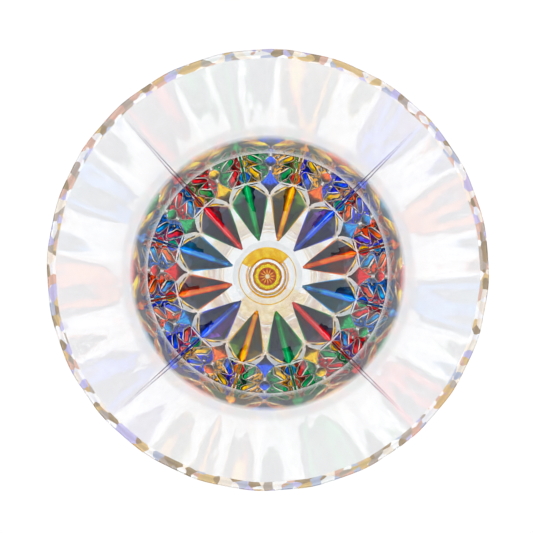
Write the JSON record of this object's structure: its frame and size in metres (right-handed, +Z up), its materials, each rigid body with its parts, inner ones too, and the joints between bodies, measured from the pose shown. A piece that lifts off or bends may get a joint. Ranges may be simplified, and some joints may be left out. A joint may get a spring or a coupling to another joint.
{
  "type": "art glass bowl",
  "caption": "Stemmed art glass bowl in clear cut crystal: mitre-cut petals round the base of the bowl, painted in coloured enamels, on a fluted stem and round foot.",
  "frame": {"origin": "centre of the foot's underside", "axes": "+Z up along the axis of the stem and bowl; +X towards the right of the bowl seen from above"},
  "size_m": [0.0896, 0.0896, 0.2],
  "materials": {
    "crystal": "clear polished crystal, cut and fire-polished",
    "gold_enamel": "fired glossy enamel, translucent, on cut crystal",
    "green_enamel": "fired glossy enamel, translucent, on cut crystal",
    "yellow_enamel": "fired glossy enamel, translucent, on cut crystal",
    "blue_enamel": "fired glossy enamel, translucent, on cut crystal",
    "orange_enamel": "fired glossy enamel, translucent, on cut crystal",
    "cyan_enamel": "fired glossy enamel, translucent, on cut crystal",
    "red_enamel": "fired glossy enamel, translucent, on cut crystal"
  },
  "bodies": {
    "root": {"crystal_bowl": "crystal", "stem_collar": "crystal", "crystal_stem": "crystal", "crystal_foot": "crystal", "stem_gold_enamel": "gold_enamel", "collar_gold_line": "gold_enamel", "petal_enamel_01": "orange_enamel", "petal_enamel_02": "blue_enamel", "petal_enamel_03": "yellow_enamel", "petal_enamel_04": "green_enamel", "petal_enamel_05": "red_enamel", "petal_enamel_06": "cyan_enamel", "petal_enamel_07": "orange_enamel", "petal_enamel_08": "blue_enamel", "petal_enamel_09": "yellow_enamel", "petal_enamel_10": "green_enamel", "petal_enamel_11": "red_enamel", "petal_enamel_12": "cyan_enamel", "diamond_enamel_01": "cyan_enamel", "diamond_enamel_02": "orange_enamel", "diamond_enamel_03": "blue_enamel", "diamond_enamel_04": "yellow_enamel", "diamond_enamel_05": "green_enamel", "diamond_enamel_06": "red_enamel", "diamond_enamel_07": "cyan_enamel", "diamond_enamel_08": "orange_enamel", "diamond_enamel_09": "blue_enamel", "diamond_enamel_10": "yellow_enamel", "diamond_enamel_11": "green_enamel", "diamond_enamel_12": "red_enamel", "scroll_enamel_01": "cyan_enamel", "scroll_enamel_02": "blue_enamel", "scroll_enamel_03": "orange_enamel", "scroll_enamel_04": "yellow_enamel", "scroll_enamel_05": "blue_enamel", "scroll_enamel_06": "green_enamel", "scroll_enamel_07": "yellow_enamel", "scroll_enamel_08": "red_enamel", "scroll_enamel_09": "green_enamel", "scroll_enamel_10": "cyan_enamel", "scroll_enamel_11": "red_enamel", "scroll_enamel_12": "orange_enamel", "scroll_enamel_13": "cyan_enamel", "scroll_enamel_14": "blue_enamel", "scroll_enamel_15": "orange_enamel", "scroll_enamel_16": "yellow_enamel", "scroll_enamel_17": "blue_enamel", "scroll_enamel_18": "green_enamel", "scroll_enamel_19": "yellow_enamel", "scroll_enamel_20": "red_enamel", "scroll_enamel_21": "green_enamel", "scroll_enamel_22": "cyan_enamel", "scroll_enamel_23": "red_enamel", "scroll_enamel_24": "orange_enamel"}
  },
  "joints": []
}
